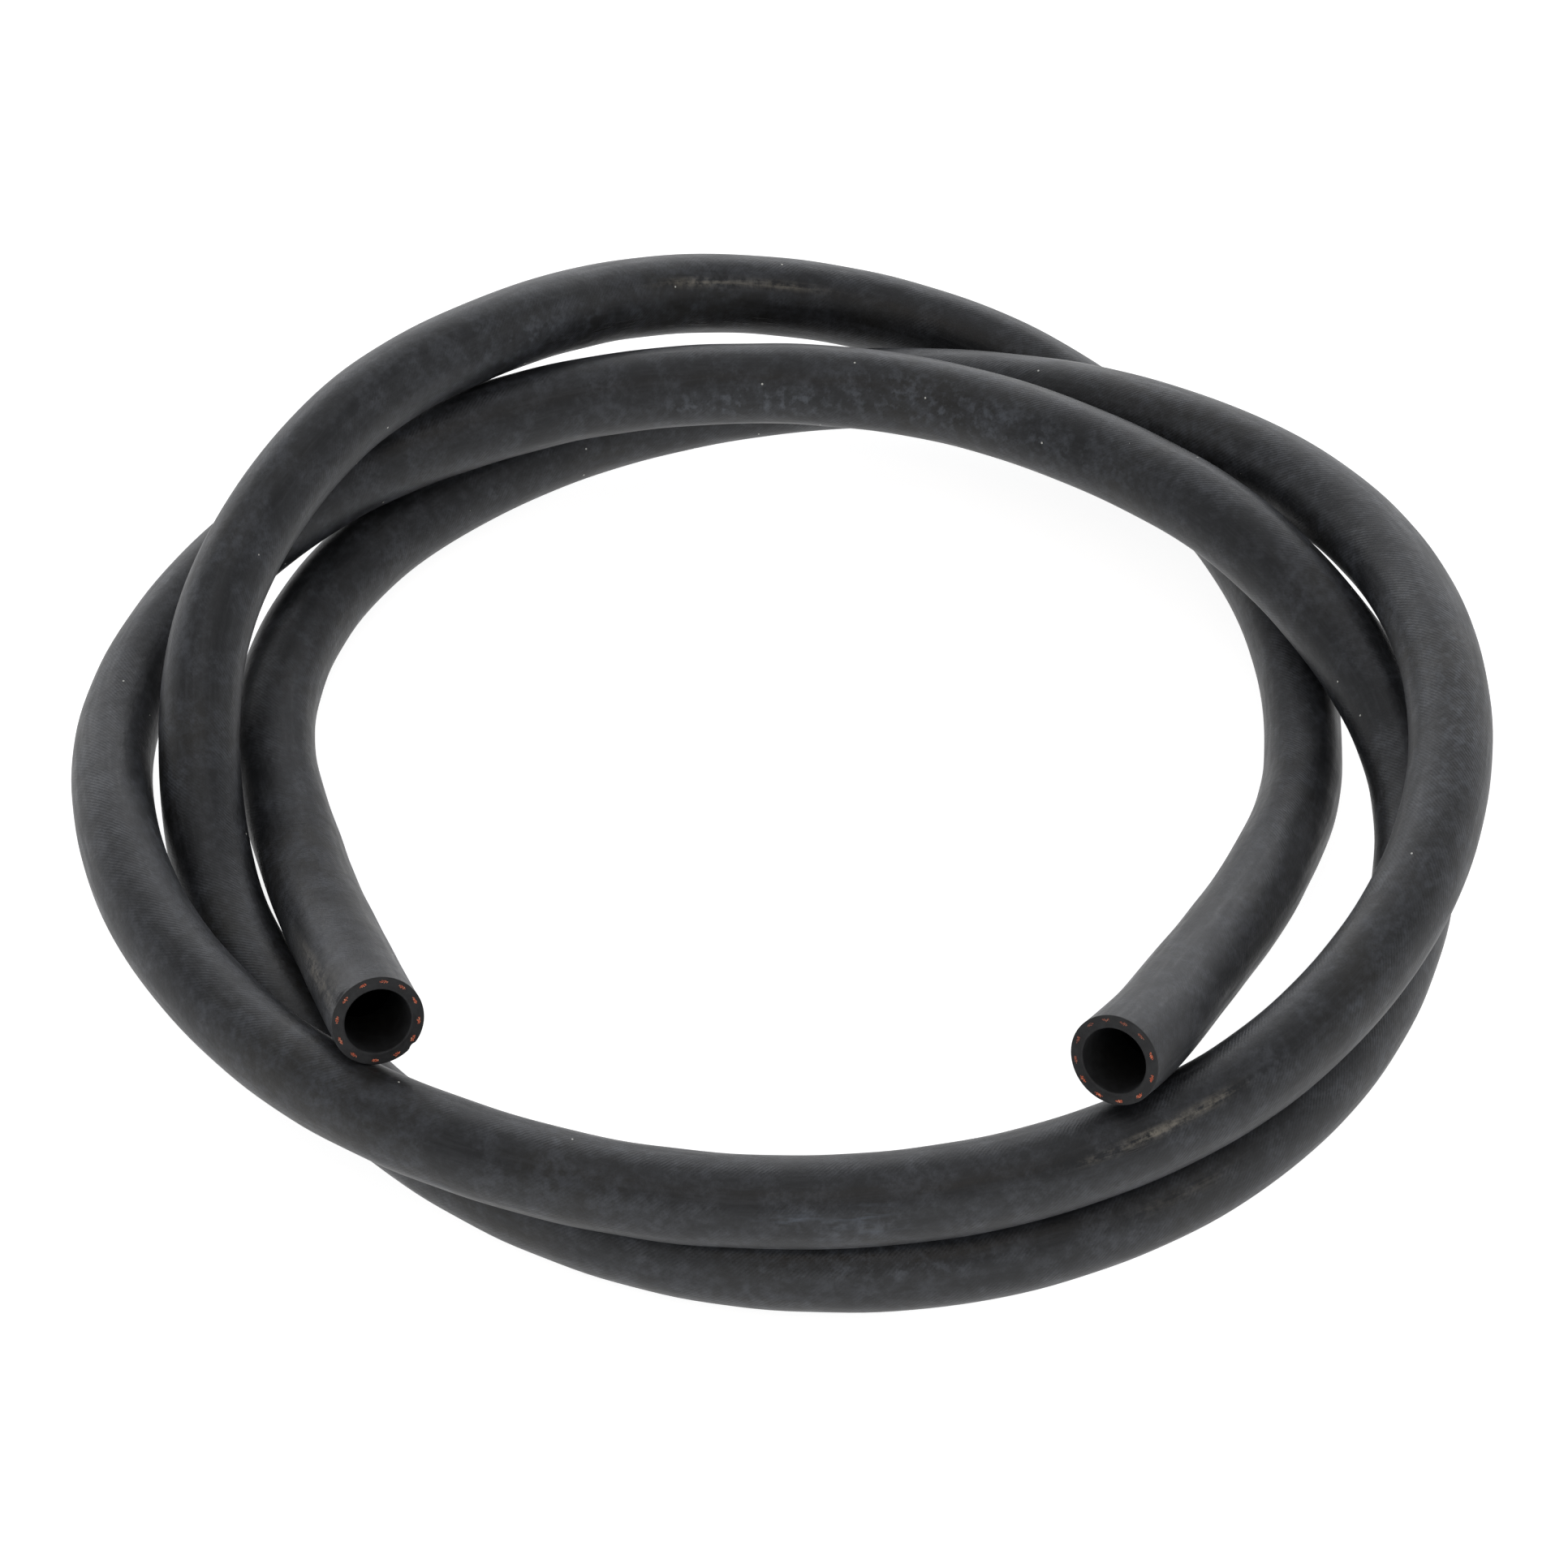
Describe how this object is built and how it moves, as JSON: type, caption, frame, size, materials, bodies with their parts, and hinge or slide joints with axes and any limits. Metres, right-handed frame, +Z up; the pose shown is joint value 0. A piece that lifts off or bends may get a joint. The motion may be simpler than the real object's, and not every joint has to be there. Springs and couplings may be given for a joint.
{
  "type": "coolant hose",
  "caption": "Length of black rubber coolant hose with textile reinforcement in its wall, lying in a loose coil with both ends cut square and open.",
  "frame": {"origin": "on the floor under the middle of the coil", "axes": "+Z up from the floor, the cut ends on the -Y side, the left end at -X and the right end at +X"},
  "size_m": [0.4068, 0.4016, 0.0847],
  "materials": {
    "hose_rubber": "matte",
    "reinforcement_yarn": "matte"
  },
  "bodies": {
    "root": {"hose": "hose_rubber", "yarn_left_01": "reinforcement_yarn", "yarn_left_02": "reinforcement_yarn", "yarn_left_03": "reinforcement_yarn", "yarn_left_04": "reinforcement_yarn", "yarn_left_05": "reinforcement_yarn", "yarn_left_06": "reinforcement_yarn", "yarn_left_07": "reinforcement_yarn", "yarn_left_08": "reinforcement_yarn", "yarn_left_09": "reinforcement_yarn", "yarn_left_10": "reinforcement_yarn", "yarn_left_11": "reinforcement_yarn", "yarn_left_12": "reinforcement_yarn", "yarn_right_01": "reinforcement_yarn", "yarn_right_02": "reinforcement_yarn", "yarn_right_03": "reinforcement_yarn", "yarn_right_04": "reinforcement_yarn", "yarn_right_05": "reinforcement_yarn", "yarn_right_06": "reinforcement_yarn", "yarn_right_07": "reinforcement_yarn", "yarn_right_08": "reinforcement_yarn", "yarn_right_09": "reinforcement_yarn", "yarn_right_10": "reinforcement_yarn", "yarn_right_11": "reinforcement_yarn", "yarn_right_12": "reinforcement_yarn"}
  },
  "joints": []
}
